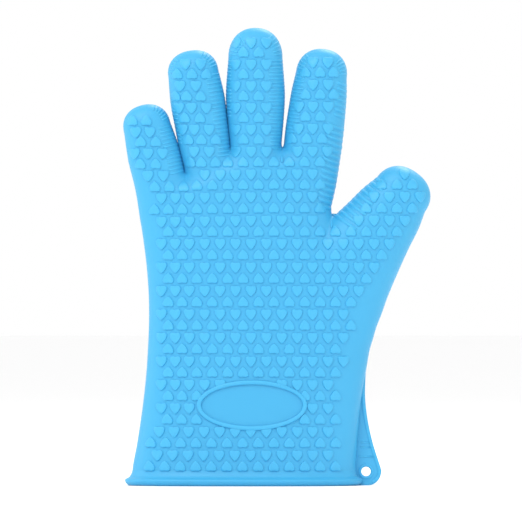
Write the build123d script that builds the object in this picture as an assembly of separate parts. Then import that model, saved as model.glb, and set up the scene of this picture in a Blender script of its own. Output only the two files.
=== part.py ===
from build123d import *

import math
import os

# Heat resistant five-finger glove, moulded in silicone with one wall all over.
#
# The glove stands on its cuff. +Z runs from the cuff to the fingertips, +X points to the
# thumb and -Y is the face with the oval label frame. The origin is at the bottom of the
# bead, in the middle of the whole glove's width and depth. Millimetres and degrees.
#
# The moulding is cut where a hand bends it: at the wrist, at the knuckle line, twice in
# each finger and twice in the thumb. Each bend is a crease: a short band of wall that
# folds, between two stretches that keep their shape. Every piece is cut from one shell,
# so neighbours meet face to face.

WALL = 1.7  # silicone wall of the whole glove
SECTION_POWER = 2.5  # superellipse power of the hand's cross-section
SECTION_POINTS = 24

# Hand and sleeve, from the cuff up: height, little-finger edge, thumb edge, half depth
HAND_STATIONS = [
    (0.0, -85.5, 46.3, 25.0),
    (25.0, -82.1, 47.9, 23.5),
    (50.0, -78.7, 50.2, 22.0),
    (70.0, -76.7, 53.8, 21.0),
    (90.0, -75.6, 58.2, 20.2),
    (110.0, -75.5, 58.0, 19.6),
    (130.0, -77.0, 48.0, 19.0),
    (148.0, -79.1, 38.0, 17.4),
    (162.0, -81.3, 32.8, 15.4),
    (178.0, -84.0, 34.8, 13.3),
    (196.0, -86.8, 36.6, 12.4),
]
HAND_BASE_EXTRA = 20.0  # how far the hollow is carried below the mouth, so that it cuts it open
# Upper end of the hand, below the gaps between the fingers: across, height
HAND_TOP = [(-110.0, 187.0), (-53.0, 176.0), (-27.0, 190.0), (3.5, 191.5), (110.0, 192.0)]
# The thin web that closes the hand between two fingers: its upper edge across and up
WEB_GAPS = [(-53.8, 184.2), (-27.2, 198.2), (3.8, 199.2)]
WEB_HALF_WIDTH = 6.0
WEB_HALF_DEPTH = 4.5
WEB_SHOULDER = 1.0  # how much lower the web's ends are than its middle
WEB_DROP = 20.0  # how far the web reaches down into the hand
# The lines that part two fingers run straight up to a gap's bottom, then lean to these places
COLUMN_FOOT = 150.0
COLUMN_HEAD = 300.0
COLUMN_TOPS = [-79.6, -37.0, 15.0]

# Fingers: the root centre, the lean away from +Z towards +X, then stations along the
# finger's own axis as distance from the root, half width, half depth, and the length of
# the rounded tip after the last one. A bend is the start, length and range of a crease.
FINGERS = {
    "little": {
        "root": (-69.6, 184.0),
        "lean": -14.0,
        "stations": [
            (-30.0, 13.0, 10.0),
            (-3.0, 15.0, 12.0),
            (9.0, 15.3, 11.8),
            (28.4, 14.0, 10.8),
        ],
        "tip": 13.2,
        "middle_bend": (-3.0, 18.0, 60.0),
        "tip_bend": (18.0, 12.0, 40.0),
    },
    "ring": {
        "root": (-42.1, 200.0),
        "lean": -9.0,
        "stations": [
            (-30.0, 13.4, 11.0),
            (-10.0, 14.0, 12.4),
            (0.0, 14.5, 12.8),
            (14.0, 15.1, 12.6),
            (28.0, 15.8, 12.3),
            (43.9, 14.6, 11.4),
        ],
        "tip": 13.4,
        "middle_bend": (6.0, 20.0, 60.0),
        "tip_bend": (32.0, 13.0, 40.0),
    },
    "middle": {
        "root": (-12.3, 202.0),
        "lean": 0.0,
        "stations": [
            (-30.0, 13.8, 11.5),
            (-2.0, 14.9, 13.2),
            (13.0, 16.2, 13.0),
            (26.0, 17.3, 12.8),
            (50.0, 16.0, 11.8),
        ],
        "tip": 18.0,
        "middle_bend": (8.0, 21.0, 60.0),
        "tip_bend": (37.0, 13.5, 40.0),
    },
    "index": {
        "root": (21.7, 202.0),
        "lean": 7.0,
        "stations": [
            (-30.0, 15.0, 11.5),
            (-14.0, 16.4, 12.8),
            (6.0, 17.2, 13.1),
            (20.0, 16.8, 12.8),
            (30.0, 16.3, 12.4),
            (40.3, 15.1, 11.6),
        ],
        "tip": 15.6,
        "middle_bend": (6.0, 20.0, 60.0),
        "tip_bend": (32.0, 13.0, 40.0),
    },
}
# The thumb is measured from the middle of its rounded tip, so its root lies below zero
THUMB = {
    "root": (73.6, 171.6),
    "lean": 36.0,
    "stations": [
        (-90.0, 34.0, 12.0),
        (-70.0, 33.6, 16.0),
        (-52.0, 29.4, 16.8),
        (-35.0, 25.4, 16.2),
        (-22.0, 22.6, 15.3),
        (-10.0, 20.2, 14.3),
        (0.0, 17.9, 13.2),
    ],
    "tip": 16.5,
    "root_bend": (-33.0, 20.0, 45.0),
    "tip_bend": (-7.0, 13.0, 35.0),
}
THUMB_SIDE_LEAN = 28.0  # the line that parts the thumb from the index finger
THUMB_SIDE_START = 25.5  # where it meets the root crease's start, measured from the thumb's axis

WRIST_BEND = (76.0, 24.0, 35.0)  # start height, length and range of the wrist's crease
KNUCKLE_MIDDLE = (-22.5, 164.0)  # middle of the knuckle crease: across, height
KNUCKLE_SLOPE = 7.0  # the knuckle line rises towards the index finger
KNUCKLE_LENGTH = 22.0
KNUCKLE_RANGE = 50.0

# Bead round the cuff's mouth: height and how far it stands out of the sleeve
BEAD_PROFILE = [(0.0, 1.6), (1.2, 3.2), (2.8, 4.0), (4.0, 3.2), (5.6, 0.4)]

# Flat tab on the thumb side, with the hole that the glove hangs from
TAB_HALF_DEPTH = 1.2
TAB_HOLE = (53.0, 8.2)
TAB_HOLE_RADIUS = 2.75
TAB_CORNER = (54.4, 8.0)  # centre of the rounded corner
TAB_CORNER_RADIUS = 8.0
TAB_CORNER_TURNS = (-35.0, 20.0)  # half way round the corner, and its end
TAB_EDGE = [(57.6, 25.0), (54.2, 39.0), (53.0, 54.0), (53.4, 66.0)]
TAB_INSIDE = 30.0  # the tab's sheet starts here, inside the sleeve

# Raised oval frame for a label, on the front of the sleeve
LABEL_CENTRE = (-14.3, 47.5)
LABEL_OUTER = (32.5, 14.9)
LABEL_RIM_WIDTH = 2.6
LABEL_HEIGHT = 0.9

FAR = 400.0  # larger than the glove, for cutting planes


def hand_section(height, left, right, half_depth, inset):
    """The hand's cross-section at one height, drawn in by inset, as a face."""
    half_width = (right - left) / 2 - inset
    depth = half_depth - inset
    centre = (left + right) / 2
    points = []
    for i in range(SECTION_POINTS):
        turn = 2 * math.pi * i / SECTION_POINTS
        across = math.copysign(abs(math.cos(turn)) ** (2 / SECTION_POWER), math.cos(turn))
        deep = math.copysign(abs(math.sin(turn)) ** (2 / SECTION_POWER), math.sin(turn))
        points.append((centre + half_width * across, depth * deep, height))
    return Face(Wire([Edge.make_spline([Vector(*p) for p in points], periodic=True)]))


def hand_solid(inset, extra_below=0.0):
    """Sleeve and hand as one solid up to the finger gaps, drawn in by inset."""
    stations = list(HAND_STATIONS)
    if extra_below:
        height, *section = stations[0]
        stations.insert(0, (height - extra_below, *section))
    lofted = loft([hand_section(*station, inset) for station in stations])
    top = [(x, z - inset) for x, z in HAND_TOP]
    outline = [(top[0][0], -FAR), *top, (top[-1][0], -FAR)]
    return lofted & prism(outline, FAR)


def prism(outline, half_depth):
    """A solid of that outline across and up, of equal depth in front of and behind Y = 0."""
    face = Face(Wire.make_polygon([Vector(x, 0, z) for x, z in outline], close=True))
    return extrude(face, half_depth, dir=(0, 1, 0), both=True)


def finger_plane(finger, along):
    """The plane across a finger's axis at that distance from its root."""
    lean = math.radians(finger["lean"])
    root_x, root_z = finger["root"]
    axis = (math.sin(lean), 0, math.cos(lean))
    origin = (root_x + along * axis[0], 0, root_z + along * axis[2])
    return Plane(origin=origin, x_dir=(math.cos(lean), 0, -math.sin(lean)), z_dir=axis)


def finger_solid(finger, inset):
    """One finger from inside the hand to its rounded tip, drawn in by inset."""
    sections = []
    for along, half_width, half_depth in finger["stations"]:
        ring = Ellipse(half_width - inset, half_depth - inset)
        sections.append((finger_plane(finger, along) * ring).face())
    tube = loft(sections)
    along, half_width, half_depth = finger["stations"][-1]
    dome = scale(Sphere(1), by=(half_width - inset, half_depth - inset, finger["tip"] - inset))
    dome = finger_plane(finger, along) * dome
    return tube + dome


def glove_solid(inset):
    """The whole glove as a filled body, drawn in by inset."""
    body = hand_solid(inset, extra_below=HAND_BASE_EXTRA if inset else 0.0)
    if not inset:
        for x, z in WEB_GAPS:
            web = [
                (x - WEB_HALF_WIDTH, z - WEB_DROP),
                (x - WEB_HALF_WIDTH, z - WEB_SHOULDER),
                (x, z),
                (x + WEB_HALF_WIDTH, z - WEB_SHOULDER),
                (x + WEB_HALF_WIDTH, z - WEB_DROP),
            ]
            body += prism(web, WEB_HALF_DEPTH)
    for finger in [*FINGERS.values(), THUMB]:
        body += finger_solid(finger, inset)
    return body


def knuckle_line(offset):
    """Two far points of the knuckle line, moved by offset across the crease."""
    slope = math.radians(KNUCKLE_SLOPE)
    middle_x, middle_z = KNUCKLE_MIDDLE
    x = middle_x - offset * math.sin(slope)
    z = middle_z + offset * math.cos(slope)
    run_x = FAR * math.cos(slope)
    run_z = FAR * math.sin(slope)
    return (x - run_x, z - run_z), (x + run_x, z + run_z)


def above(line_start, line_end):
    """The half space on the upper side of a line that runs from left to right."""
    return prism([line_start, line_end, (FAR, 3 * FAR), (-FAR, 3 * FAR)], FAR)


def beyond(finger, along):
    """The half space of a finger past the plane at that distance from its root."""
    return finger_plane(finger, along) * Box(FAR, FAR, FAR, align=(Align.CENTER, Align.CENTER, Align.MIN))


def thumb_space():
    """The space that holds the thumb alone: past its root crease's start, right of the index finger."""
    start = finger_plane(THUMB, THUMB["root_bend"][0])
    corner = start.origin - start.x_dir * THUMB_SIDE_START
    side = math.radians(THUMB_SIDE_LEAN)
    low = start.origin + start.x_dir * FAR / 2
    outline = [
        (corner.X, corner.Z),
        (corner.X + FAR * math.sin(side), corner.Z + FAR * math.cos(side)),
        (FAR, FAR),
        (FAR, low.Z),
        (low.X, low.Z),
    ]
    return prism(outline, FAR)


def finger_columns():
    """Each finger's own column of space, split half way between neighbours."""
    lines = [
        [(gap, COLUMN_FOOT), (gap, web), (top, COLUMN_HEAD)]
        for (gap, web), top in zip(WEB_GAPS, COLUMN_TOPS)
    ]
    left = [[(-FAR, COLUMN_FOOT), (-FAR, COLUMN_HEAD)]] + lines
    right = lines + [[(FAR, COLUMN_FOOT), (FAR, COLUMN_HEAD)]]
    return {name: prism([*a, *reversed(b)], FAR) for name, a, b in zip(FINGERS, left, right)}


def bead_solid(sleeve):
    """The bead round the cuff's mouth, standing on the sleeve's outside."""
    _, left, right, half_depth = HAND_STATIONS[0]
    rings = [hand_section(height, left, right, half_depth, -out) for height, out in BEAD_PROFILE]
    return loft(rings, ruled=True) - sleeve


def tab_corner_point(turn):
    """The point on the tab's rounded corner at that turn from the level."""
    corner_x, corner_z = TAB_CORNER
    swing = math.radians(turn)
    x = corner_x + TAB_CORNER_RADIUS * math.cos(swing)
    z = corner_z + TAB_CORNER_RADIUS * math.sin(swing)
    return Vector(x, 0, z)


def tab_outline():
    """The tab's outline: bottom, rounded corner, curved outer edge, and back inside the sleeve."""
    low = tab_corner_point(-90.0)
    middle, side = (tab_corner_point(turn) for turn in TAB_CORNER_TURNS)
    edge = [side] + [Vector(x, 0, z) for x, z in TAB_EDGE]
    inner_top = Vector(TAB_INSIDE, 0, edge[-1].Z)
    inner_low = Vector(TAB_INSIDE, 0, low.Z)
    return Wire(
        [
            Edge.make_line(inner_low, low),
            Edge.make_three_point_arc(low, middle, side),
            Edge.make_spline(edge),
            Edge.make_line(edge[-1], inner_top),
            Edge.make_line(inner_top, inner_low),
        ]
    )


def tab_solid(body, bead):
    """The flat tab with its hole, up to the sleeve and the bead."""
    sheet = extrude(Face(tab_outline()), TAB_HALF_DEPTH, dir=(0, 1, 0), both=True)
    hole_x, hole_z = TAB_HOLE
    hole = Pos(hole_x, 0, hole_z) * Rot(90, 0, 0) * Cylinder(TAB_HOLE_RADIUS, 4 * TAB_HALF_DEPTH)
    return sheet - hole - body - bead


def label_solid(body):
    """The oval frame, standing on the front of the sleeve."""
    centre_x, centre_z = LABEL_CENTRE
    half_x, half_z = LABEL_OUTER
    place = Plane(origin=(centre_x, 0, centre_z), x_dir=(1, 0, 0), z_dir=(0, -1, 0))
    ring = Ellipse(half_x, half_z) - Ellipse(half_x - LABEL_RIM_WIDTH, half_z - LABEL_RIM_WIDTH)
    rim = extrude(place * ring, FAR)
    return rim & (hand_solid(-LABEL_HEIGHT) - body)


def cut_shell(shell):
    """The shell's pieces by name, each cut at its creases."""
    wrist_start, wrist_length, _ = WRIST_BEND
    wrist_end = wrist_start + wrist_length
    level = [above((-FAR, height), (FAR, height)) for height in (wrist_start, wrist_end)]
    knuckle_start, knuckle_end = (
        above(*knuckle_line(offset)) for offset in (-KNUCKLE_LENGTH / 2, KNUCKLE_LENGTH / 2)
    )
    thumb = shell & thumb_space()
    hand = shell - thumb_space()
    pieces = {
        "cuff_sleeve": hand - level[0],
        "wrist_crease": (hand & level[0]) - level[1],
        "palm_shell": (hand & level[1]) - knuckle_start,
        "knuckle_crease": (hand & knuckle_start) - knuckle_end,
    }
    upper = hand & knuckle_end
    columns = finger_columns()
    for name, finger in FINGERS.items():
        column = upper & columns[name]
        pieces.update(cut_finger(column, finger, name, "middle_bend", "middle"))
        upper -= columns[name] & beyond(finger, finger["middle_bend"][0])
    pieces["knuckle_shell"] = upper
    pieces.update(cut_finger(thumb, THUMB, "thumb", "root_bend", "base"))
    return pieces


def cut_finger(column, finger, name, first_bend, first_name):
    """The creases, the stretch between them and the tip of one finger."""
    first_start, first_length, _ = finger[first_bend]
    tip_start, tip_length, _ = finger["tip_bend"]
    cuts = [
        beyond(finger, along)
        for along in (first_start, first_start + first_length, tip_start, tip_start + tip_length)
    ]
    first_crease = "root" if first_name == "base" else first_name
    return {
        f"{name}_{first_crease}_crease": (column & cuts[0]) - cuts[1],
        f"{name}_{first_name}": (column & cuts[1]) - cuts[2],
        f"{name}_tip_crease": (column & cuts[2]) - cuts[3],
        f"{name}_tip": column & cuts[3],
    }


def build():
    """Every sub-part of the glove by name."""
    body = glove_solid(0.0)
    shell = body - glove_solid(WALL)
    parts = cut_shell(shell)
    parts["cuff_bead"] = bead_solid(hand_solid(0.0))
    parts["hang_tab"] = tab_solid(body, parts["cuff_bead"])
    parts["label_frame"] = label_solid(body)
    return parts


def main():
    os.makedirs("parts", exist_ok=True)
    for name, part in build().items():
        export_step(part, f"parts/{name}.step")


if __name__ == "__main__":
    main()
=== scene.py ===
"""Heat resistant glove: the silicone skin, its grip hearts and ribs, bead, tab and label rim.

The skin is the level surface of a distance field, blended from one solid for the hand and one
for each finger, so the whole moulding is smooth. Lengths are millimetres in the row's frame
until a mesh is made. The skin is cut into pieces where the glove doesn't bend.
"""

import math

import bpy
import numpy as np
import openvdb
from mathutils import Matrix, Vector


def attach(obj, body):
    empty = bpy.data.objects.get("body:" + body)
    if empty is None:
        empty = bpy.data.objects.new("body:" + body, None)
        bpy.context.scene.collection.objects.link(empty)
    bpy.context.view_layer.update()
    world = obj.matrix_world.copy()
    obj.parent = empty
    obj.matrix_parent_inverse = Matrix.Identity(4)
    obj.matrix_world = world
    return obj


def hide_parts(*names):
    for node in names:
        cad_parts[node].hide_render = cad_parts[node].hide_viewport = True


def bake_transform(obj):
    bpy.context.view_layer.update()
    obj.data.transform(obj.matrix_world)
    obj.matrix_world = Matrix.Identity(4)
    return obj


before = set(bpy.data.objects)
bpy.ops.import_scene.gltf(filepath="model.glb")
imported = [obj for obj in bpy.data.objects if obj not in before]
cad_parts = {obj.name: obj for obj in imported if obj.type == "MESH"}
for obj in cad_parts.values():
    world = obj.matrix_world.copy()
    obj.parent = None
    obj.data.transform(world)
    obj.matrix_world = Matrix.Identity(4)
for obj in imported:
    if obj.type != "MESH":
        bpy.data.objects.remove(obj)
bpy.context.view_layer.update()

MM = 0.001
WALL = 1.7
SECTION_POWER = 2.5  # 2 makes an ellipse, more makes it squarer
FINGER_POWER = 2.25
TIP_POWER = 2.2

# Sleeve and hand: height, little finger's edge, thumb's edge, half depth
HAND = [
    (0.0, -85.1, 46.3, 25.0),
    (8.0, -85.0, 46.8, 24.5),
    (25.0, -82.1, 47.9, 23.5),
    (50.0, -78.4, 50.2, 22.0),
    (70.0, -76.4, 53.4, 21.0),
    (80.0, -75.8, 55.2, 20.6),
    (90.0, -75.3, 58.1, 20.2),
    (110.0, -75.2, 58.5, 19.6),
    (130.0, -76.6, 48.0, 19.0),
    (148.0, -78.9, 38.0, 17.8),
    (162.0, -81.1, 32.5, 16.4),
    (178.0, -82.3, 34.8, 14.6),
    (196.0, -83.2, 36.6, 12.6),
]
# The bottom of the gap between two fingers, from the little finger to the index finger
CROTCHES = [(-53.1, 183.7), (-27.0, 197.7), (3.8, 198.8)]
HAND_TOP = [(-95.0, 191.0), *CROTCHES, (45.0, 198.0)]
ROOF = 15.0  # height over which the hand thins towards its top
ROOF_BLEND = 3.0
THUMB_BLEND = 1.8

# Root, lean, and stations along the axis: distance, half width, half depth; rounded tip's length
FINGERS = {
    "little": {
        "root": (-69.4, 184.0),
        "lean": -14.0,
        "stations": [(-30.0, 13.4, 10.0), (-3.0, 15.4, 12.0), (9.0, 15.7, 11.8), (28.4, 14.0, 10.8)],
        "tip": 13.2,
    },
    "ring": {
        "root": (-42.1, 200.0),
        "lean": -9.0,
        "stations": [
            (-30.0, 13.4, 11.0),
            (-10.0, 14.4, 12.4),
            (0.0, 15.2, 12.8),
            (14.0, 15.7, 12.6),
            (28.0, 16.1, 12.3),
            (43.9, 14.9, 11.4),
        ],
        "tip": 13.4,
    },
    "middle": {
        "root": (-12.3, 202.0),
        "lean": 0.0,
        "stations": [
            (-30.0, 13.8, 11.5),
            (-2.0, 15.3, 13.2),
            (13.0, 16.6, 13.0),
            (26.0, 17.4, 12.8),
            (50.0, 16.0, 11.8),
        ],
        "tip": 18.0,
    },
    "index": {
        "root": (21.7, 202.0),
        "lean": 7.0,
        "stations": [
            (-30.0, 15.0, 11.5),
            (-14.0, 16.4, 12.8),
            (6.0, 17.2, 13.1),
            (20.0, 16.8, 12.8),
            (30.0, 16.3, 12.4),
            (40.3, 15.1, 11.6),
        ],
        "tip": 15.6,
    },
}
THUMB = {
    "root": (73.6, 171.6),
    "lean": 36.0,
    "stations": [
        (-90.0, 34.0, 12.0),
        (-70.0, 33.6, 16.0),
        (-52.0, 28.8, 16.8),
        (-35.0, 24.9, 16.2),
        (-22.0, 22.3, 15.3),
        (-10.0, 20.3, 14.3),
        (0.0, 17.5, 13.2),
    ],
    "tip": 15.9,
}
DIGITS = {**FINGERS, "thumb": THUMB}
# Lines between two fingers, each from its crotch up to a far point
COLUMN_LINES = [
    ((-53.8, 184.2), (-79.6, 300.0)),
    ((-27.2, 198.2), (-37.0, 300.0)),
    ((3.8, 199.2), (15.0, 300.0)),
]
ROOT_LINES = {  # each finger's own skin begins above this line
    "little": ((-90.0, 172.0), CROTCHES[0]),
    "ring": (CROTCHES[0], CROTCHES[1]),
    "middle": (CROTCHES[1], CROTCHES[2]),
    "index": (CROTCHES[2], (45.0, 196.0)),
}

# Where the skin is cut into pieces, in stretches that don't bend
CUFF_TOP = 72.0
WRIST_TOP = 108.0
PALM_TOP = 140.0
THUMB_START = -33.5
THUMB_CORNER = (33.4, 160.0)
THUMB_SIDE_LEAN = 28.0
# The bends: start and length along a digit
BENDS = {
    "little_middle": (-3.0, 18.0),
    "little_tip": (18.0, 12.0),
    "ring_middle": (6.0, 20.0),
    "ring_tip": (32.0, 13.0),
    "middle_middle": (8.0, 21.0),
    "middle_tip": (37.0, 13.5),
    "index_middle": (6.0, 20.0),
    "index_tip": (32.0, 13.0),
    "thumb_root": (-33.0, 20.0),
    "thumb_tip": (-7.0, 13.0),
}

LABEL_CENTRE = (-14.3, 47.5)
LABEL_HALF = (32.5, 14.9)
LABEL_RIM_WIDTH = 2.8
LABEL_RIM_HEIGHT = 1.5
LABEL_RECESS = 0.35
LABEL_RECESS_EDGE = 0.06  # part of the label's half size over which the recess deepens

GRID_STEP = np.array([0.6, 1.0, 1.0])
GRID_LOW = np.array([-97.2, -32.0, -6.0])
GRID_HIGH = np.array([96.0, 32.0, 276.0])
BOTTOM = 0.6  # where the skin ends, inside the bead


# ---------------------------------------------------------------- the distance field


def smooth_curve(stations, column, at):
    """A smooth curve through one column of a list of stations, level outside it."""
    knots = np.array([s[0] for s in stations], float)
    values = np.array([s[column] for s in stations], float)
    slopes = np.gradient(values, knots)
    i = np.clip(np.searchsorted(knots, at) - 1, 0, len(knots) - 2)
    run = knots[i + 1] - knots[i]
    t = np.clip((at - knots[i]) / run, 0, 1)
    return (
        values[i] * (2 * t**3 - 3 * t**2 + 1)
        + slopes[i] * run * (t**3 - 2 * t**2 + t)
        + values[i + 1] * (3 * t**2 - 2 * t**3)
        + slopes[i + 1] * run * (t**3 - t**2)
    )


def digit_axes(digit):
    """Root, across and along directions of a finger in (x, z)."""
    lean = math.radians(digit["lean"])
    root = np.array(digit["root"])
    return root, np.array([math.cos(lean), -math.sin(lean)]), np.array([math.sin(lean), math.cos(lean)])


def digit_coordinates(digit, x, z):
    """How far a point is across and along a finger's axis."""
    root, across, along = digit_axes(digit)
    dx, dz = x - root[0], z - root[1]
    return dx * across[0] + dz * across[1], dx * along[0] + dz * along[1]


def hand_form(x, y, z):
    """1 on the hand's surface, less inside, more outside."""
    left = smooth_curve(HAND, 1, z)
    right = smooth_curve(HAND, 2, z)
    depth = smooth_curve(HAND, 3, z)
    across = np.abs(x - (left + right) / 2) / ((right - left) / 2)
    ring = (across**SECTION_POWER + np.abs(y / depth) ** SECTION_POWER) ** (1 / SECTION_POWER)
    top = smooth_curve(HAND_TOP, 1, x)
    over = np.maximum(0, z - (top - ROOF)) / ROOF
    return np.maximum(ring, np.sqrt((y / depth) ** 2 + over**2))


def digit_form(digit, x, y, z):
    """1 on a finger's surface, less inside, more outside."""
    u, w = digit_coordinates(digit, x, z)
    first, last = digit["stations"][0][0], digit["stations"][-1][0]
    width = smooth_curve(digit["stations"], 1, w)
    depth = smooth_curve(digit["stations"], 2, w)
    beyond = np.maximum(0, w - last) / digit["tip"] + np.maximum(0, first - w) / 10
    ring = (np.abs(u / width) ** FINGER_POWER + np.abs(y / depth) ** FINGER_POWER) ** (1 / FINGER_POWER)
    return (ring**TIP_POWER + beyond**TIP_POWER) ** (1 / TIP_POWER)


def as_distance(form):
    """Turns a form into a distance from its surface, to first order, over the grid."""
    slopes = np.gradient(form, *GRID_STEP)
    steepness = np.sqrt(sum(s * s for s in slopes))
    return (form - 1) / np.maximum(steepness, 1 / 60)


def smooth_union(a, b, blend):
    """The union of two distance fields, with a fillet where they meet."""
    h = np.clip(0.5 + 0.5 * (b - a) / blend, 0, 1)
    return b * (1 - h) + a * h - blend * h * (1 - h)


def grid_axes():
    counts = np.round((GRID_HIGH - GRID_LOW) / GRID_STEP).astype(int) + 1
    x, y, z = (GRID_LOW[i] + GRID_STEP[i] * np.arange(counts[i]) for i in range(3))
    return x[:, None, None], y[None, :, None], z[None, None, :]


def build_fields():
    """The distance fields of the whole glove, and of the hand with each single finger."""
    x, y, z = grid_axes()
    hand = as_distance(hand_form(x, y, z))
    hand = smooth_union(hand, as_distance(digit_form(THUMB, x, y, z)), THUMB_BLEND)
    label_x = (x - LABEL_CENTRE[0]) / LABEL_HALF[0]
    label_z = (z - LABEL_CENTRE[1]) / LABEL_HALF[1]
    label = np.sqrt(label_x**2 + label_z**2)
    hand = hand + LABEL_RECESS * np.clip((1 - label) / LABEL_RECESS_EDGE, 0, 1) * (y < 0)
    fingers = {name: as_distance(digit_form(FINGERS[name], x, y, z)) for name in FINGERS}
    fields = {name: smooth_union(hand, f, ROOF_BLEND) for name, f in fingers.items()}
    nearest = np.minimum.reduce(list(fingers.values()))
    fields["hand"] = smooth_union(hand, nearest, ROOF_BLEND)
    return {name: f.astype(np.float32) for name, f in fields.items()}


class Field:
    """A distance field with its slope, read between grid points."""

    def __init__(self, values):
        self.values = values
        self.slopes = np.gradient(values, *GRID_STEP)

    def read(self, points, arrays):
        at = (points - GRID_LOW) / GRID_STEP
        low = np.clip(np.floor(at).astype(int), 0, np.array(self.values.shape) - 2)
        part = np.clip(at - low, 0, 1)
        found = [np.zeros(len(points)) for _ in arrays]
        for corner in np.ndindex(2, 2, 2):
            weight = np.prod(np.where(corner, part, 1 - part), axis=1)
            i, j, k = (low + corner).T
            for total, array in zip(found, arrays):
                total += weight * array[i, j, k]
        return found

    def distance(self, points):
        return self.read(points, [self.values])[0]

    def normal(self, points):
        slope = np.stack(self.read(points, self.slopes), axis=1)
        return slope / np.maximum(np.linalg.norm(slope, axis=1), 1e-9)[:, None]

    def settle(self, points, level, rounds=3, most=0.8):
        """Moves points along the slope on to the surface at that distance."""
        moved = points.copy()
        for _ in range(rounds):
            value, *slope = self.read(moved, [self.values, *self.slopes])
            slope = np.stack(slope, axis=1)
            square = np.maximum((slope**2).sum(1), 0.2)
            moved -= np.clip((value - level) / square, -0.5, 0.5)[:, None] * slope
        step = moved - points
        far = np.linalg.norm(step, axis=1)
        return points + step * np.minimum(1, most / np.maximum(far, 1e-9))[:, None]

    def meet(self, start, direction, reach):
        """Where lines from inside the glove leave it, found by halving."""
        near = np.zeros(len(start))
        far = np.full(len(start), reach)
        for _ in range(18):
            middle = (near + far) / 2
            outside = self.distance(start + direction * middle[:, None]) > 0
            far = np.where(outside, middle, far)
            near = np.where(outside, near, middle)
        return start + direction * near[:, None]


fields = {name: Field(values) for name, values in build_fields().items()}


# ---------------------------------------------------------------- pieces of the skin


def side_of(line, x, z):
    """Above zero where a point lies above a line that runs from left to right."""
    (x0, z0), (x1, z1) = line
    return (z - z0) * (x1 - x0) - (x - x0) * (z1 - z0)


def column_edge(line, z):
    (x0, z0), (x1, z1) = line
    return x0 + (x1 - x0) * (z - z0) / (z1 - z0)


def middle_seam(name):
    """Half way along the stretch between a digit's two bends."""
    first = BENDS[f"{name}_root" if name == "thumb" else f"{name}_middle"]
    return (first[0] + first[1] + BENDS[f"{name}_tip"][0]) / 2


def in_thumb(x, z):
    along = digit_coordinates(THUMB, x, z)[1]
    lean = math.radians(THUMB_SIDE_LEAN)
    side = (x - THUMB_CORNER[0]) * math.cos(lean) - (z - THUMB_CORNER[1]) * math.sin(lean)
    return (along > THUMB_START) & (side > 0)


def in_column(name, x, z, margin=0.0):
    i = list(FINGERS).index(name)
    inside = np.ones(np.shape(x), bool)
    if i > 0:
        inside &= x > column_edge(COLUMN_LINES[i - 1], z) - margin
    if i < len(COLUMN_LINES):
        inside &= x < column_edge(COLUMN_LINES[i], z) + margin
    return inside


def region_of(x, z):
    """The name of the piece of skin at each point seen from the front."""
    region = np.full(np.shape(x), "knuckle", dtype="<U16")
    region[z < PALM_TOP] = "palm"
    region[z < WRIST_TOP] = "wrist"
    region[z < CUFF_TOP] = "cuff"
    thumb = in_thumb(x, z)
    tip = digit_coordinates(THUMB, x, z)[1] > middle_seam("thumb")
    region[thumb] = "thumb_root"
    region[thumb & tip] = "thumb_tip"
    for name in FINGERS:
        own = ~thumb & in_column(name, x, z) & (side_of(ROOT_LINES[name], x, z) > 0)
        tip = digit_coordinates(FINGERS[name], x, z)[1] > middle_seam(name)
        region[own] = f"{name}_middle"
        region[own & tip] = f"{name}_tip"
    return region


def shell_faces(field):
    """The shell's corners and four-sided faces, its corners moved on to the true surface."""
    z = grid_axes()[2]
    shell = np.maximum(np.maximum(field.values, -(field.values + WALL)), (BOTTOM - z).astype(np.float32))
    grid = openvdb.FloatGrid(3.0)
    grid.copyFromArray(np.ascontiguousarray(shell, dtype=np.float32))
    points, faces = grid.convertToQuads(isovalue=0.0)
    points = points.astype(float) * GRID_STEP + GRID_LOW
    value = field.distance(points)
    inner = value < -WALL / 2
    rim = points[:, 2] < BOTTOM + 1.2
    settled = np.where(inner[:, None], field.settle(points, -WALL), field.settle(points, 0.0))
    points = np.where(rim[:, None], points, settled)
    normals = field.normal(points)
    normals[inner] *= -1
    normals[points[:, 2] < BOTTOM + 0.3] = (0, 0, -1)
    return points, faces, normals


def new_mesh(name, points, faces, normals=None):
    """A mesh object from corners in millimetres; faces all have the same number of corners."""
    mesh = bpy.data.meshes.new(name)
    faces = np.asarray(faces)
    mesh.from_pydata((np.asarray(points) * MM).tolist(), [], faces.tolist())
    mesh.polygons.foreach_set("use_smooth", np.ones(len(mesh.polygons), bool))
    if normals is not None:
        mesh.normals_split_custom_set_from_vertices(np.asarray(normals).tolist())
    mesh.update()
    made = bpy.data.objects.new(name, mesh)
    bpy.context.scene.collection.objects.link(made)
    return made


def cut_out(points, faces, normals, keep):
    """The kept faces with only the corners they use."""
    faces = faces[keep]
    used, renamed = np.unique(faces, return_inverse=True)
    return points[used], renamed.reshape(faces.shape), normals[used]


def turned_outward(points, faces, normals):
    """Faces wound so that they look the same way as their corners' normals."""
    a, b, c = (points[faces[:, i]] for i in range(3))
    facing = np.cross(b - a, c - a)
    flip = (facing * normals[faces].mean(1)).sum(1) < 0
    return np.where(flip.mean() > 0.5, faces[:, ::-1], faces)


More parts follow.
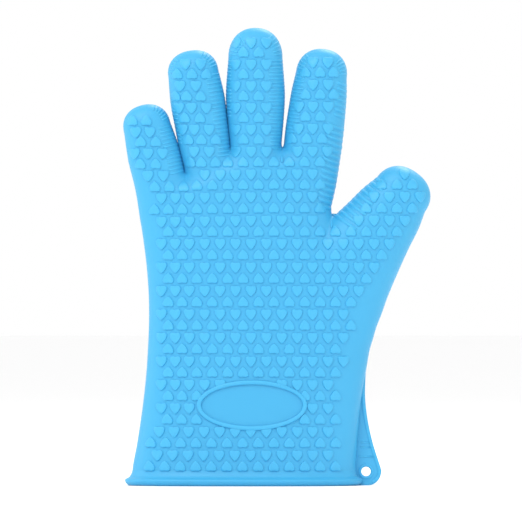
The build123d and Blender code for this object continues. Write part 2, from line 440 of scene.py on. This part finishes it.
def make_skins():
    """Every piece of skin by region."""
    skins = {}
    for source, field in fields.items():
        points, faces, normals = shell_faces(field)
        faces = turned_outward(points, faces, normals)
        centre = points[faces].mean(1)
        x, z = centre[:, 0], centre[:, 2]
        region = region_of(x, z)
        if source == "hand":
            wanted = ["cuff", "wrist", "palm", "knuckle", "thumb_root", "thumb_tip"]
            chosen = {name: region == name for name in wanted}
        else:
            above = side_of(ROOT_LINES[source], x, z) > 0
            own = in_column(source, x, z, 1.0) & above & ~in_thumb(x, z)
            tip = digit_coordinates(FINGERS[source], x, z)[1] > middle_seam(source)
            chosen = {f"{source}_middle": own & ~tip, f"{source}_tip": own & tip}
        for name, keep in chosen.items():
            skins[name] = new_mesh(f"{name}_skin", *cut_out(points, faces, normals, keep))
    return skins


# ---------------------------------------------------------------- raised hearts

COLUMN_PITCH = 9.06
DOWN_COLUMN = 3.2  # a column of hearts that point down, and of hearts that point up
UP_COLUMN = -1.4
ROW_PITCH = 13.82  # between rows that point the same way
LOWEST_UP_ROW = 11.4
LOWEST_DOWN_ROW = 18.3
# Smooth band along the little finger's edge, for rows that point each way
LITTLE_FINGER_MARGIN = {"up": 7.3, "down": 5.2}
UPPER_MARGIN = 7.3  # the same band in the rows level with the thumb
CROWDED_FROM = -51.2  # the outer columns stand a little closer together
CROWDING = 0.096
FLARE_TOP = 46.0  # below this the columns spread out with the sleeve
FLARE_RUN = 28.0
FLARE_SHIFT = 0.7
FLARE_SPREAD = 40.0  # the shift is full this far from the middle of the hand
# How far the hearts reach towards the thumb's side: height, across
THUMB_SIDE_LIMIT = [(60.0, 37.0), (72.0, 40.5), (88.0, 40.7), (95.0, 44.6), (108.0, 47.3), (150.0, 74.8)]
# Rows level with the thumb and above: height, way, spans of the palm's columns
UPPER_ROWS = [
    (156.5, "down", [(-80, 24), (46, 78)]),
    (163.4, "up", [(-80, 28), (51, 82)]),
    (170.4, "down", [(-73, 23), (55, 86)]),
    (177.3, "up", [(-50, 27), (62, 82)]),
    (183.8, "down", [(-45, 23), (74, 77)]),
    (190.7, "up", [(-30, 27)]),
]
UPPER_ROW_TILT = 0.012
# Rows on the fingers: height, way, places across
FINGER_ROWS = [
    (215.0, "up", [-84.8, -76.6]),
    (208.5, "down", [-82.7, -74.5]),
    (202.5, "up", [-79.8, -71.0]),
    (196.0, "down", [-83.4, -75.5, -67.0]),
    (189.4, "up", [-80.0, -71.0]),
    (182.8, "down", [-75.5, -66.5]),
    (176.0, "up", [-71.5, -62.9, -54.6]),
    (248.6, "down", [-53.5, -44.6]),
    (242.4, "up", [-58.4, -49.7, -41.3]),
    (235.8, "down", [-56.6, -47.4]),
    (229.3, "up", [-59.6, -52.8, -44.5]),
    (222.8, "down", [-57.3, -49.9, -41.3]),
    (216.5, "up", [-53.9, -45.0]),
    (210.0, "down", [-55.2, -48.2, -39.6]),
    (203.7, "up", [-51.8, -44.1, -35.6]),
    (197.1, "down", [-48.4, -39.5]),
    (190.4, "up", [-50.6, -44.2, -35.8]),
    *[(z, "down", [-24.0, -14.8, -5.9]) for z in (261.1, 248.4, 235.6, 222.8, 210.0, 197.1)],
    *[(z, "up", [-19.3, -10.4]) for z in (255.2, 242.3, 229.5, 216.7, 203.9)],
    (249.6, "down", [21.6, 30.4]),
    (243.4, "up", [17.2, 25.8, 33.6]),
    (236.5, "down", [21.6, 30.6]),
    (230.4, "up", [17.3, 25.9, 33.7]),
    (223.5, "down", [13.4, 21.6, 30.6]),
    (217.4, "up", [17.3, 26.0]),
    (210.6, "down", [13.2, 21.5, 30.5]),
    (204.4, "up", [9.2, 18.0, 27.0]),
    (197.2, "down", [12.6, 21.4, 30.0]),
]
# Half of a heart's outline, from the notch round to the point, and its rings from foot to crown
HEART_SIDE = [
    (0.0, 2.48),
    (1.0, 2.78),
    (2.1, 2.72),
    (2.9, 2.1),
    (3.17, 1.05),
    (2.88, -0.2),
    (2.2, -1.5),
    (1.28, -2.72),
    (0.48, -3.42),
]
HEART_POINT = (0.0, -3.6)
UP_HEART_LENGTH = 0.94
HEART_RINGS = [(1.06, -0.35), (1.03, 0.2), (1.0, 0.6), (0.93, 0.84), (0.80, 0.93), (0.45, 0.98)]
HEART_CROWN = 1.0
BAR_HALF = (0.62, 2.0)
BAR_TURNS = np.linspace(0, 2 * math.pi, 20, endpoint=False)
BAR_OUTLINE = [(BAR_HALF[0] * math.sin(a), BAR_HALF[1] * math.cos(a)) for a in BAR_TURNS]
BARS = [(3.3, 192.2), (32.6, 153.6)]  # short upright bars under the crotches
EDGE_ROOM = 0.8  # how near to the silhouette a heart may reach
EDGE_FADE = 6.0  # the hearts are lower than full height this near to the silhouette
LEAST_FADE = 0.25
LABEL_CLEAR = 0.93  # no heart's middle lies nearer to the label's; 1 is on the rim's outer edge
LABEL_NEAR = 1.5  # hearts nearer than this give way to the rim
FACE_REACH = 31.0  # further than the glove's half depth anywhere


def closed_curve(points, steps):
    """A smooth closed curve through the points, with that many steps between each two."""
    knots = np.array(points, float)
    before, after = np.roll(knots, 1, axis=0), np.roll(knots, -1, axis=0)
    beyond = np.roll(knots, -2, axis=0)
    found = []
    for t in np.arange(steps) / steps:
        curve = (
            2 * knots
            + (after - before) * t
            + (2 * before - 5 * knots + 4 * after - beyond) * t**2
            + (3 * knots - before - 3 * after + beyond) * t**3
        )
        found.append(curve / 2)
    return np.stack(found, axis=1).reshape(-1, 2)


def heart_outline():
    """A plump heart with a shallow notch and its point down."""
    other_side = [(-x, z) for x, z in HEART_SIDE[:0:-1]]
    return closed_curve([*HEART_SIDE, HEART_POINT, *other_side], 2)


def lattice(way):
    first = DOWN_COLUMN if way == "down" else UP_COLUMN
    return [first + COLUMN_PITCH * k for k in range(-10, 11)]


def thumb_side_limit(z):
    """The hearts stop short of a smooth band along the thumb's side of the glove."""
    return float(np.interp(z, *zip(*THUMB_SIDE_LIMIT)))


def as_moulded(x, z):
    """A palm column's true place: crowded at the side of the hand, spread where the sleeve flares."""
    flare = min(1, max(0, (FLARE_TOP - z) / FLARE_RUN))
    crowding = CROWDING * max(0, CROWDED_FROM - x)
    return x + (1 - flare) * crowding - flare * FLARE_SHIFT * min(1, max(0, -x / FLARE_SPREAD))


def heart_centres():
    """Places of the hearts seen from the front: across, height, which way the point is."""
    found = []
    rows = [(LOWEST_UP_ROW + ROW_PITCH * n, "up") for n in range(11)]
    rows += [(LOWEST_DOWN_ROW + ROW_PITCH * n, "down") for n in range(10)]
    for z, way in rows:
        low = float(smooth_curve(HAND, 1, z)) + LITTLE_FINGER_MARGIN[way]
        found += [(as_moulded(x, z), z, way) for x in lattice(way) if low < x < thumb_side_limit(z)]
    for z, way, spans in UPPER_ROWS:
        for low, high in spans:
            low = max(low, float(smooth_curve(HAND, 1, z)) + UPPER_MARGIN)
            for x in lattice(way):
                if low < x < high:
                    found.append((as_moulded(x, z), z + UPPER_ROW_TILT * min(0, x), way))
    for z, way, places in FINGER_ROWS:
        found += [(x, z, way) for x in places]
    return found


def clear_of_label(x, z):
    """Pushes points that lie under the label out to the middle of its rim."""
    cx, cz = LABEL_CENTRE
    half = np.array(LABEL_HALF) - LABEL_RIM_WIDTH / 2
    dx, dz = (x - cx) / half[0], (z - cz) / half[1]
    far = np.sqrt(dx * dx + dz * dz)
    push = np.where(far < 1, 1 / np.maximum(far, 1e-6), 1)
    return cx + dx * push * half[0], cz + dz * push * half[1]


def label_distance(x, z):
    """1 on the label rim's outer edge, less inside it."""
    return math.hypot((x - LABEL_CENTRE[0]) / LABEL_HALF[0], (z - LABEL_CENTRE[1]) / LABEL_HALF[1])


def on_face(x, z, side):
    """The glove's surface in front (side -1) or behind (side 1) at those places."""
    start = np.stack([x, np.zeros_like(x), z], axis=1)
    direction = np.zeros_like(start)
    direction[:, 1] = side
    return fields["hand"].meet(start, direction, FACE_REACH)


def within_silhouette(x, z):
    """Draws points in from the glove's outline seen from the front, and says how far inside they are."""
    points = np.stack([x, np.zeros_like(x), z], axis=1)
    for _ in range(3):
        inside = fields["hand"].distance(points)
        slope = fields["hand"].normal(points)
        slope[:, 1] = 0
        points = points - slope * np.maximum(0, inside + EDGE_ROOM)[:, None]
    return points[:, 0], points[:, 2], -fields["hand"].distance(points)


def raised_patch(centre_x, centre_z, outline, side):
    """A raised shape on the skin: rings from its foot, under the skin, up to its crown."""
    count = len(outline)
    x = np.concatenate([centre_x + outline[:, 0] * s for s, _ in HEART_RINGS] + [[centre_x]])
    z = np.concatenate([centre_z + outline[:, 1] * s for s, _ in HEART_RINGS] + [[centre_z]])
    lift = np.concatenate([np.full(count, h) for _, h in HEART_RINGS] + [[HEART_CROWN]])
    if side < 0 and label_distance(centre_x, centre_z) < LABEL_NEAR:
        x, z = clear_of_label(x, z)
    x, z, inside = within_silhouette(x, z)
    points = on_face(x, z, side)
    fade = np.clip(inside / EDGE_FADE, LEAST_FADE, 1)
    lift = np.where(lift > 0, lift * fade, lift)
    points = points + fields["hand"].normal(points) * lift[:, None]
    faces = []
    for ring in range(len(HEART_RINGS) - 1):
        for i in range(count):
            a, b = ring * count + i, ring * count + (i + 1) % count
            faces.append((a, b, b + count, a + count))
    last = (len(HEART_RINGS) - 1) * count
    faces += [(last + i, last + (i + 1) % count, last + count) for i in range(count)]
    faces.append(tuple(reversed(range(count))))
    turned = np.cross(outline, np.roll(outline, -1, axis=0)).sum() * side > 0
    return points, [tuple(reversed(f)) for f in faces] if turned else faces


def make_hearts():
    """All hearts and short bars on both faces, gathered by region."""
    down = heart_outline()
    outlines = {"down": down, "up": down * [1, -UP_HEART_LENGTH], "bar": np.array(BAR_OUTLINE)}
    places = heart_centres() + [(x, z, "bar") for x, z in BARS]
    gathered = {}
    for x, z, way in places:
        region = str(region_of(np.array([x]), np.array([z]))[0])
        for side in (-1, 1):
            if side < 0 and label_distance(x, z) < LABEL_CLEAR:
                continue
            patch = raised_patch(x, z, outlines[way], side)
            gathered.setdefault(region, []).append(patch)
    return gathered


# ---------------------------------------------------------------- ribs on the fingers' sides

# Per digit: side, first and last place along the axis, pitch, distance from the axis where
# the ribs start, slant, half width
RIBS = {
    "little": [(1, -2.0, 27.0, 2.3, 7.2, 0.0, 0.75)],
    "ring": [(1, -7.0, 43.0, 2.4, 7.9, 0.0, 0.8), (-1, 4.0, 24.0, 2.4, 13.2, -0.25, 0.7)],
    "middle": [(1, -3.0, 50.0, 2.15, 9.0, 0.0, 0.74), (-1, 16.0, 50.0, 2.15, 14.8, 0.0, 0.7)],
    "index": [
        (1, -35.0, 16.0, 3.4, 7.6, 0.3, 1.3),
        (1, 18.5, 40.0, 3.1, 10.8, 0.25, 1.1),
        (-1, 5.0, 40.0, 2.15, 10.2, 0.0, 0.7),
    ],
    "thumb": [(-1, -32.5, 0.5, 3.5, 11.8, 0.0, 1.25)],
}
# Round the fingertips: side, first and last turn from across towards the tip, in degrees
TIP_RIBS = {
    "little": [(1, 10, 60)],
    "ring": [(1, 10, 60), (-1, 10, 50)],
    "middle": [(1, 9, 63), (-1, 9, 63)],
    "index": [(1, 10, 50), (-1, 10, 50)],
}
TIP_RIB_STEP = 9.0
TIP_RIB_START = 0.76  # of the half width
RIB_HEIGHT = 0.6  # of a rib 0.75 wide each way; wider ribs stand up more
RIB_SIDE_HEIGHT = 0.15  # part of the height that is left half way round the side
RIB_STEPS = 17
RIB_REACH = 1.14  # how far past the half width a rib may be looked for
RIB_END_RISE = 7  # a rib rises from its end over one part in this many of its half length
RIB_SINK = 0.15  # how far its ends sink under the skin
RIB_PROFILE = [(-1.0, -0.7), (-0.72, 0.55), (0.0, 1.0), (0.72, 0.55), (1.0, -0.7)]


def rib_patch(field, origin, outward, tangent, start, slant, half_width, reach):
    """One rib from the front round the side to the back, square to the plane of the hand.

    The rib runs between the two places that lie start out from the origin.
    """
    width = float(np.linalg.norm(field.meet(flat(origin), flat(outward), reach) - flat(origin)))
    first = math.acos(min(0.97, start / width))
    turn = np.linspace(-first, first, RIB_STEPS)
    part = np.abs(turn / first)
    height_along = RIB_SIDE_HEIGHT + (1 - RIB_SIDE_HEIGHT) * part
    lift_along = np.clip((1 - part) * RIB_END_RISE, 0, 1) * height_along
    rows = []
    for offset, lift in RIB_PROFILE:
        shift = offset * half_width - slant * width * (np.cos(turn) - math.cos(first))
        start_points = flat(origin + np.outer(shift, tangent))
        ray = np.stack([np.cos(turn) * outward[0], np.sin(turn), np.cos(turn) * outward[1]], axis=1)
        met = field.meet(start_points, ray, reach)
        lifted = np.where(lift > 0, lift * lift_along - RIB_SINK * (lift_along <= 0), lift * 0.5)
        rows.append(met + field.normal(met) * (lifted * RIB_HEIGHT * half_width / 0.75)[:, None])
    n = RIB_STEPS
    faces = []
    for low in range(0, (len(rows) - 1) * n, n):
        faces += [(low + i, low + i + 1, low + n + i + 1, low + n + i) for i in range(n - 1)]
    top = (len(rows) - 1) * n
    faces += [(i + 1, i, top + i, top + i + 1) for i in range(n - 1)]
    faces.append(tuple(r * n for r in range(len(rows))))
    faces.append(tuple(r * n + n - 1 for r in reversed(range(len(rows)))))
    if outward[0] * tangent[1] - outward[1] * tangent[0] > 0:
        faces = [tuple(reversed(f)) for f in faces]
    return np.concatenate(rows), faces


def flat(places):
    """Places seen from the front, in the plane of the hand."""
    places = np.atleast_2d(places)
    return np.stack([places[:, 0], np.zeros(len(places)), places[:, 1]], axis=1)


def make_ribs():
    """Ribs on the sides of the fingers and the thumb, gathered by region."""
    gathered = {}
    for name, groups in RIBS.items():
        digit = DIGITS[name]
        field = fields["hand" if name == "thumb" else name]
        root, across, axis = digit_axes(digit)
        for side, low, high, pitch, start, slant, half_width in groups:
            for along in np.arange(low, high, pitch):
                origin = root + axis * along
                edge = origin + across * side * (start + 2)
                region = str(region_of(edge[:1], edge[1:])[0])
                reach = RIB_REACH * float(smooth_curve(digit["stations"], 1, along))
                patch = rib_patch(field, origin, across * side, axis, start, slant, half_width, reach)
                gathered.setdefault(region, []).append(patch)
        tip = root + axis * digit["stations"][-1][0]
        for side, low, high in TIP_RIBS.get(name, []):
            for degrees in np.arange(low, high, TIP_RIB_STEP):
                turn = math.radians(degrees)
                outward = across * side * math.cos(turn) + axis * math.sin(turn)
                tangent = axis * math.cos(turn) - across * side * math.sin(turn)
                start = TIP_RIB_START * digit["stations"][-1][1]
                patch = rib_patch(field, tip, outward, tangent, start, 0.0, 0.6, 1.5 * digit["tip"])
                gathered.setdefault(f"{name}_tip", []).append(patch)
    return gathered


def joined(name, patches):
    """One object from many patches."""
    points, faces, first = [], [], 0
    for patch_points, patch_faces in patches:
        points.append(patch_points)
        faces += [tuple(i + first for i in face) for face in patch_faces]
        first += len(patch_points)
    mesh = bpy.data.meshes.new(name)
    mesh.from_pydata((np.concatenate(points) * MM).tolist(), [], faces)
    mesh.polygons.foreach_set("use_smooth", np.ones(len(mesh.polygons), bool))
    mesh.update()
    made = bpy.data.objects.new(name, mesh)
    bpy.context.scene.collection.objects.link(made)
    return made


# ---------------------------------------------------------------- bead, label rim and tab

BEAD_PROFILE = [  # out from the sleeve's surface, height
    (-0.25, 10.5),
    (0.05, 8.8),
    (0.35, 7.4),
    (0.8, 6.3),
    (1.45, 5.3),
    (2.3, 4.6),
    (3.2, 4.2),
    (3.95, 3.75),
    (4.3, 3.05),
    (4.15, 2.2),
    (3.5, 1.2),
    (2.5, 0.35),
    (1.6, 0.0),
    (0.4, 0.0),
    (-1.2, 0.0),
    (-2.3, 0.15),
    (-2.9, 0.9),
    (-2.7, 2.2),
    (-2.0, 3.6),
    (-1.2, 5.2),
]
BEAD_STEPS = 180


def sleeve_ring(height, count):
    """Points round the sleeve at a height, evenly spread, with their outward directions."""
    left = float(smooth_curve(HAND, 1, height))
    right = float(smooth_curve(HAND, 2, height))
    depth = float(smooth_curve(HAND, 3, height))
    turn = np.linspace(0, 2 * math.pi, 4000)
    c, s = np.cos(turn), np.sin(turn)
    x = (left + right) / 2 + (right - left) / 2 * np.sign(c) * np.abs(c) ** (2 / SECTION_POWER)
    y = depth * np.sign(s) * np.abs(s) ** (2 / SECTION_POWER)
    run = np.concatenate([[0], np.cumsum(np.hypot(np.diff(x), np.diff(y)))])
    at = np.linspace(0, run[-1], count, endpoint=False)
    x, y = np.interp(at, run, x), np.interp(at, run, y)
    tangent = np.stack([np.roll(x, -1) - np.roll(x, 1), np.roll(y, -1) - np.roll(y, 1)], axis=1)
    tangent /= np.linalg.norm(tangent, axis=1)[:, None]
    return np.stack([x, y], axis=1), np.stack([tangent[:, 1], -tangent[:, 0]], axis=1)


def make_bead():
    rows = []
    for out, height in BEAD_PROFILE:
        ring, outward = sleeve_ring(height, BEAD_STEPS)
        place = ring + outward * out
        rows.append(np.column_stack([place, np.full(BEAD_STEPS, height)]))
    points = np.concatenate(rows)
    faces = []
    for r in range(len(rows)):
        for i in range(BEAD_STEPS):
            j, s = (i + 1) % BEAD_STEPS, (r + 1) % len(rows)
            faces.append((r * BEAD_STEPS + j, r * BEAD_STEPS + i, s * BEAD_STEPS + i, s * BEAD_STEPS + j))
    return new_mesh("cuff_bead_lip", points, faces)


RIM_PROFILE = [
    (-1.0, -0.6),
    (-0.98, 0.5),
    (-0.8, 0.88),
    (-0.4, 1.0),
    (0.4, 1.0),
    (0.8, 0.88),
    (0.98, 0.5),
    (1.0, -0.6),
]
RIM_STEPS = 160


def make_label_rim():
    turn = np.linspace(0, 2 * math.pi, RIM_STEPS, endpoint=False)
    rows = []
    for across, lift in RIM_PROFILE:
        half = np.array(LABEL_HALF) - LABEL_RIM_WIDTH / 2 * (1 - across)
        x = LABEL_CENTRE[0] + half[0] * np.cos(turn)
        z = LABEL_CENTRE[1] + half[1] * np.sin(turn)
        points = on_face(x, z, -1)
        rows.append(points + fields["hand"].normal(points) * lift * LABEL_RIM_HEIGHT)
    faces = []
    for r in range(len(rows)):
        for i in range(RIM_STEPS):
            j, s = (i + 1) % RIM_STEPS, (r + 1) % len(rows)
            faces.append((r * RIM_STEPS + i, r * RIM_STEPS + j, s * RIM_STEPS + j, s * RIM_STEPS + i))
    return new_mesh("label_rim", np.concatenate(rows), faces)


TAB_THICKNESS = 2.4
TAB_HOLE = (53.0, 8.2)
TAB_HOLE_RADIUS = 2.75
TAB_EDGE_CURVE = [
    (9.0, 62.1),
    (16.0, 59.8),
    (25.0, 57.0),
    (39.0, 53.9),
    (54.0, 52.4),
    (62.0, 52.6),
    (68.0, 52.9),
]
TAB_CORNER = (54.6, 9.1)  # centre of the rounded bottom corner
TAB_CORNER_HALF = (7.5, 9.0)
TAB_INSIDE = 1.0  # how far the fin reaches into the sleeve's side
TAB_BEVEL = 0.4


def tab_corner(turns, inset):
    """Points round the fin's bottom corner, that far in from its edge."""
    half_x, half_z = TAB_CORNER_HALF[0] - inset, TAB_CORNER_HALF[1] - inset
    return [(TAB_CORNER[0] + half_x * math.sin(a), TAB_CORNER[1] - half_z * math.cos(a)) for a in turns]


def tab_outline():
    """The fin's outline: along the bottom, round the corner, up the edge and down inside the wall."""
    corner = tab_corner(np.linspace(0, math.radians(88), 14), 0.0)
    edge = [(float(smooth_curve(TAB_EDGE_CURVE, 1, z)), z) for z in np.linspace(11.0, 68.0, 28)]
    inner = [(float(smooth_curve(HAND, 2, z)) - TAB_INSIDE, z) for z in np.linspace(67.0, 0.1, 18)]
    return corner + edge + inner


def make_tab():
    curve = bpy.data.curves.new("hang_tab_outline", "CURVE")
    curve.dimensions = "2D"
    curve.fill_mode = "BOTH"
    hole = [
        (TAB_HOLE[0] + TAB_HOLE_RADIUS * math.cos(a), TAB_HOLE[1] + TAB_HOLE_RADIUS * math.sin(a))
        for a in np.linspace(0, 2 * math.pi, 36, endpoint=False)
    ]
    for outline in (tab_outline(), hole):
        spline = curve.splines.new("POLY")
        spline.points.add(len(outline) - 1)
        for point, (x, z) in zip(spline.points, outline):
            point.co = (x * MM, z * MM, 0, 1)
        spline.use_cyclic_u = True
    curve.extrude = (TAB_THICKNESS / 2 - TAB_BEVEL) * MM
    curve.bevel_depth = TAB_BEVEL * MM
    curve.bevel_resolution = 3
    curve.offset = -TAB_BEVEL * MM
    source = bpy.data.objects.new("hang_tab_outline", curve)
    bpy.context.scene.collection.objects.link(source)
    bpy.context.view_layer.update()
    mesh = bpy.data.meshes.new_from_object(source.evaluated_get(bpy.context.evaluated_depsgraph_get()))
    bpy.data.objects.remove(source)
    co = np.zeros(len(mesh.vertices) * 3)
    mesh.vertices.foreach_get("co", co)
    co = co.reshape(-1, 3)
    mesh.vertices.foreach_set("co", np.column_stack([co[:, 0], -co[:, 2], co[:, 1]]).ravel())
    mesh.name = "hang_tab_fin"
    made = bpy.data.objects.new("hang_tab_fin", mesh)
    bpy.context.scene.collection.objects.link(made)
    return made


FIN_RELIEF = 0.4
FIN_STRIP_PROFILE = [(-1.0, -0.5), (-0.8, 0.6), (-0.35, 1.0), (0.35, 1.0), (0.8, 0.6), (1.0, -0.5)]
FIN_BORDER_HALF_WIDTH = 0.9
FIN_BORDER_INSET = 1.35
FIN_EYELET_HALF_WIDTH = 0.75
FIN_EYELET_GAP = 0.3
FIN_STEPS = [((50.4, 25.4), (55.2, 25.4)), ((50.0, 22.6), (56.0, 22.6)), ((48.8, 17.0), (57.8, 17.0))]
FIN_STEP_HALF_WIDTH = 0.45


def fin_strip(path, half_width, closed, side):
    """A raised strip along a path on one face of the fin."""
    path = np.asarray(path, float)
    if closed:
        tangent = np.roll(path, -1, axis=0) - np.roll(path, 1, axis=0)
    else:
        tangent = np.gradient(path, axis=0)
    tangent /= np.linalg.norm(tangent, axis=1)[:, None]
    square = np.stack([-tangent[:, 1], tangent[:, 0]], axis=1)
    points = []
    for across, lift in FIN_STRIP_PROFILE:
        place = path + square * across * half_width
        deep = np.full(len(path), side * (TAB_THICKNESS / 2 + lift * FIN_RELIEF))
        points.append(np.column_stack([place[:, 0], deep, place[:, 1]]))
    n, rows = len(path), len(FIN_STRIP_PROFILE)
    faces = []
    for r in range(rows):
        s = (r + 1) % rows
        for i in range(n if closed else n - 1):
            j = (i + 1) % n
            faces.append((r * n + i, r * n + j, s * n + j, s * n + i))
    if not closed:
        faces.append(tuple(r * n for r in reversed(range(rows))))
        faces.append(tuple(r * n + n - 1 for r in range(rows)))
    if side < 0:
        faces = [tuple(reversed(f)) for f in faces]
    return np.concatenate(points), faces


def make_tab_relief():
    """The fin's raised border and eyelet ring, and the low steps across it, on both faces."""
    border = tab_corner(np.linspace(math.radians(20), math.radians(85), 12), FIN_BORDER_INSET)
    for z in np.linspace(11.0, 62.0, 26):
        border.append((float(smooth_curve(TAB_EDGE_CURVE, 1, z)) - FIN_BORDER_INSET, z))
    turns = np.linspace(0, 2 * math.pi, 32, endpoint=False)
    radius = TAB_HOLE_RADIUS + FIN_EYELET_HALF_WIDTH + FIN_EYELET_GAP
    eyelet = [(TAB_HOLE[0] + radius * math.cos(a), TAB_HOLE[1] + radius * math.sin(a)) for a in turns]
    patches = []
    for side in (-1, 1):
        patches.append(fin_strip(border, FIN_BORDER_HALF_WIDTH, False, side))
        patches.append(fin_strip(eyelet, FIN_EYELET_HALF_WIDTH, True, side))
        patches += [fin_strip(step, FIN_STEP_HALF_WIDTH, False, side) for step in FIN_STEPS]
    return joined("hang_tab_relief", patches)


# ---------------------------------------------------------------- material


def silicone(name, colour, depth):
    """Soft one-colour silicone: satin, faintly cloudy, with a fine moulded texture."""
    material = bpy.data.materials.new(name)
    material.use_nodes = True
    nodes, links = material.node_tree.nodes, material.node_tree.links
    shader = nodes["Principled BSDF"]
    place = nodes.new("ShaderNodeTexCoord")
    clouds = nodes.new("ShaderNodeTexNoise")
    clouds.inputs["Scale"].default_value = 22
    clouds.inputs["Detail"].default_value = 3
    links.new(place.outputs["Object"], clouds.inputs["Vector"])
    tint = nodes.new("ShaderNodeMix")
    tint.data_type = "RGBA"
    tint.inputs["A"].default_value = (*[c * (1 - depth) for c in colour], 1)
    tint.inputs["B"].default_value = (*[min(1, c * (1 + depth)) for c in colour], 1)
    links.new(clouds.outputs["Fac"], tint.inputs["Factor"])
    links.new(tint.outputs["Result"], shader.inputs["Base Color"])
    grain = nodes.new("ShaderNodeTexNoise")
    grain.inputs["Scale"].default_value = 900
    grain.inputs["Detail"].default_value = 4
    links.new(place.outputs["Object"], grain.inputs["Vector"])
    rough = nodes.new("ShaderNodeMapRange")
    rough.inputs["To Min"].default_value = 0.40
    rough.inputs["To Max"].default_value = 0.52
    links.new(grain.outputs["Fac"], rough.inputs["Value"])
    links.new(rough.outputs["Result"], shader.inputs["Roughness"])
    bump = nodes.new("ShaderNodeBump")
    bump.inputs["Strength"].default_value = 0.12
    bump.inputs["Distance"].default_value = 0.0002
    links.new(grain.outputs["Fac"], bump.inputs["Height"])
    links.new(bump.outputs["Normal"], shader.inputs["Normal"])
    shader.inputs["Specular IOR Level"].default_value = 0.42
    shader.inputs["Subsurface Weight"].default_value = 0.12
    shader.inputs["Subsurface Radius"].default_value = (0.4, 0.9, 1.0)
    shader.inputs["Subsurface Scale"].default_value = 0.0015
    return material


# ---------------------------------------------------------------- assembly

skins = make_skins()
hearts = make_hearts()
ribs = make_ribs()

# The glove is one silicone colour; the raised hearts, ribs, label rim and tab relief get a lighter copy
# of it, painted light on the raised tops
base = silicone("silicone_skin", (0.046, 0.370, 0.645), 0.03)
raised = silicone("silicone_raised_painted_lighter", (0.050, 0.394, 0.675), 0.02)

grips = {}
for region in skins:
    patches = hearts.get(region, []) + ribs.get(region, [])
    if patches:
        grips[region] = joined(f"{region}_grip", patches)

bead = make_bead()
rim = make_label_rim()
tab = make_tab()
tab_relief = make_tab_relief()

for piece in [*skins.values(), bead, tab]:
    piece.data.materials.append(base)
# The raised parts take the lighter copy: painted light on their tops
for piece in [*grips.values(), rim, tab_relief]:
    piece.data.materials.append(raised)
for piece in [*skins.values(), *grips.values(), bead, rim, tab, tab_relief]:
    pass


def place_piece(piece, region):
    """Rides a cuff or palm piece on its body's empty; bakes any other piece's placement into its mesh."""
    if region == "cuff":
        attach(piece, "cuff")
    elif region == "wrist":
        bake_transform(piece)
    elif region == "palm":
        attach(piece, "palm")
    elif region == "knuckle":
        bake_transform(piece)
    else:
        name, part = region.split("_")
        if part == "root":
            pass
        elif name == "thumb":
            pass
        elif part == "middle":
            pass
        else:
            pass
        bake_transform(piece)


for region, piece in [*skins.items(), *grips.items()]:
    place_piece(piece, region)
for piece in (bead, rim, tab, tab_relief):
    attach(piece, "cuff")

REPLACED = {
    "cuff": ["cuff_sleeve"],
    "wrist": ["wrist_crease"],
    "palm": ["palm_shell"],
    "knuckle": ["knuckle_crease", "knuckle_shell"],
    "thumb_root": ["thumb_root_crease", "thumb_base"],
    "thumb_tip": ["thumb_tip_crease", "thumb_tip"],
}
for name in FINGERS:
    REPLACED[f"{name}_middle"] = [f"{name}_middle_crease", f"{name}_middle"]
    REPLACED[f"{name}_tip"] = [f"{name}_tip_crease", f"{name}_tip"]
for region, nodes in REPLACED.items():
    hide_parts(*nodes)
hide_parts("cuff_bead")
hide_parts("label_frame")
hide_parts("hang_tab")


# ---------------------------------------------------------------- stage, light and camera


FLOOR_HALF = 12.0
FLOOR_COLOUR = (0.97, 0.97, 0.97, 1)
LIGHT_TARGET = (0, 0, 0.13)
# Name, place, size and power
LIGHTS = [
    ("key", (-0.7, -1.4, 1.7), (1.3, 1.3), 20),
    ("fill", (1.4, -1.6, 0.6), (1.4, 1.4), 4),
    ("rim", (-1.8, 0.1, 0.9), (0.8, 1.2), 6),
    ("back", (0.5, 1.3, 1.8), (0.8, 0.8), 16),
]
CAMERA_DISTANCE = 6.0
CAMERA_ACROSS = -0.0090
CAMERA_HEIGHT = 0.1324
VIEW_WIDTH = 0.3081  # what the photo's width spans at the glove


def make_floor():
    mesh = bpy.data.meshes.new("studio_floor")
    half = FLOOR_HALF
    corners = [(-half, -half, 0), (half, -half, 0), (half, half, 0), (-half, half, 0)]
    mesh.from_pydata(corners, [], [(0, 1, 2, 3)])
    floor = bpy.data.objects.new("studio_floor", mesh)
    bpy.context.scene.collection.objects.link(floor)
    material = bpy.data.materials.new("pale_floor")
    material.use_nodes = True
    shader = material.node_tree.nodes["Principled BSDF"]
    shader.inputs["Base Color"].default_value = FLOOR_COLOUR
    shader.inputs["Roughness"].default_value = 0.9
    shader.inputs["Specular IOR Level"].default_value = 0.1
    mesh.materials.append(material)


def area_light(name, place, target, size, power):
    data = bpy.data.lights.new(name, "AREA")
    data.shape = "RECTANGLE"
    data.size, data.size_y = size
    data.energy = power
    light = bpy.data.objects.new(name, data)
    bpy.context.scene.collection.objects.link(light)
    light.location = place
    light.rotation_euler = look(place, target)


def look(place, target):
    return (Vector(target) - Vector(place)).to_track_quat("-Z", "Y").to_euler()


def make_camera():
    camera = bpy.data.cameras.new("camera")
    camera.sensor_width = 36
    camera.lens = camera.sensor_width * CAMERA_DISTANCE / VIEW_WIDTH
    holder = bpy.data.objects.new("camera", camera)
    bpy.context.scene.collection.objects.link(holder)
    holder.location = (CAMERA_ACROSS, -CAMERA_DISTANCE, CAMERA_HEIGHT)
    holder.rotation_euler = (math.radians(90), 0, 0)
    bpy.context.scene.camera = holder


make_floor()
for light_name, place, size, power in LIGHTS:
    area_light(light_name, place, LIGHT_TARGET, size, power)
make_camera()

world = bpy.data.worlds.new("studio")
world.use_nodes = True
world.node_tree.nodes["Background"].inputs["Color"].default_value = (1, 1, 1, 1)
world.node_tree.nodes["Background"].inputs["Strength"].default_value = 1.0
bpy.context.scene.world = world
bpy.context.scene.view_settings.view_transform = "Standard"
